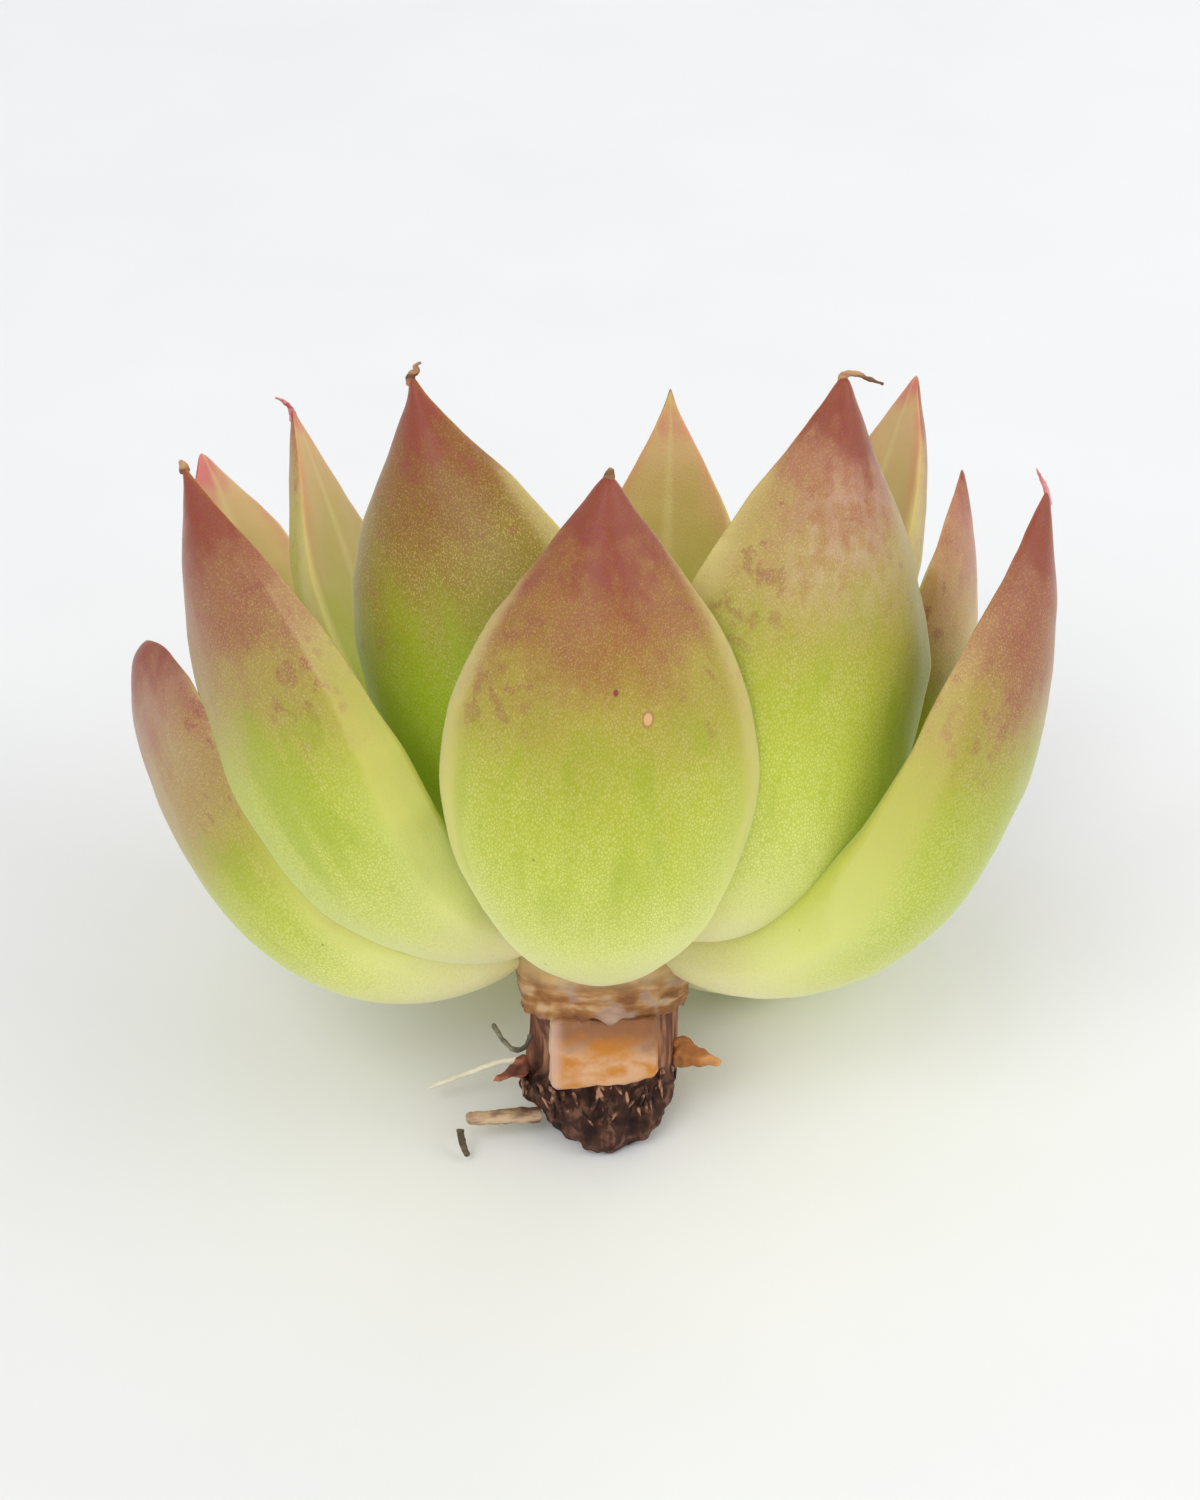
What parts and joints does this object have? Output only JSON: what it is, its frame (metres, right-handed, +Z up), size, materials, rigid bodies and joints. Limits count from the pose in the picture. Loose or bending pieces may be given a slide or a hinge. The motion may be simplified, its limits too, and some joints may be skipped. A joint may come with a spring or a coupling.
{
  "type": "bare-root succulent rosette",
  "caption": "Bare-root rosette of thick, pointed, upward-curving succulent leaves on a short torn stem stub with dry leaf bases and root stumps, leaning back on its stub and lower leaves.",
  "frame": {"origin": "the middle of the whole plant's bounding box in X and Y, at the level of the surface that it rests on", "axes": "+Z up; +X to the right of the plant as its leaning front is faced; -Y is the front, where the torn stub shows, so that the plant's own axis leans back towards +Y"},
  "size_m": [0.077, 0.0736, 0.0699],
  "materials": {
    "leaf_skin": "satin, waxy; lime green that turns bronze and crimson at the tips",
    "bark": "rough, torn and fibrous",
    "dry_scale": "matt, papery",
    "root_skin": "matt, dry"
  },
  "bodies": {
    "root": {"stem": "bark", "leaf_right_low": "leaf_skin", "leaf_back_low": "leaf_skin", "leaf_left_low": "leaf_skin", "leaf_right": "leaf_skin", "leaf_front": "leaf_skin", "leaf_left_back": "leaf_skin", "leaf_right_back": "leaf_skin", "leaf_left_front": "leaf_skin", "leaf_back": "leaf_skin", "leaf_front_right": "leaf_skin", "leaf_left": "leaf_skin", "leaf_back_right": "leaf_skin", "leaf_front_left": "leaf_skin", "bud_leaf_01": "leaf_skin", "bud_leaf_02": "leaf_skin", "bud_leaf_03": "leaf_skin", "bud_leaf_04": "leaf_skin", "bud_leaf_05": "leaf_skin", "bud_leaf_06": "leaf_skin", "bud_leaf_07": "leaf_skin", "bud_leaf_08": "leaf_skin", "bud_leaf_09": "leaf_skin", "bud_leaf_10": "leaf_skin", "dry_base_front": "dry_scale", "dry_base_right": "dry_scale", "dry_base_back": "dry_scale", "dry_base_left": "dry_scale", "bark_strip_left": "bark", "bark_strip_right": "bark", "root_broken": "root_skin", "root_curl": "root_skin", "root_pale": "root_skin", "root_twig": "root_skin"}
  },
  "joints": []
}
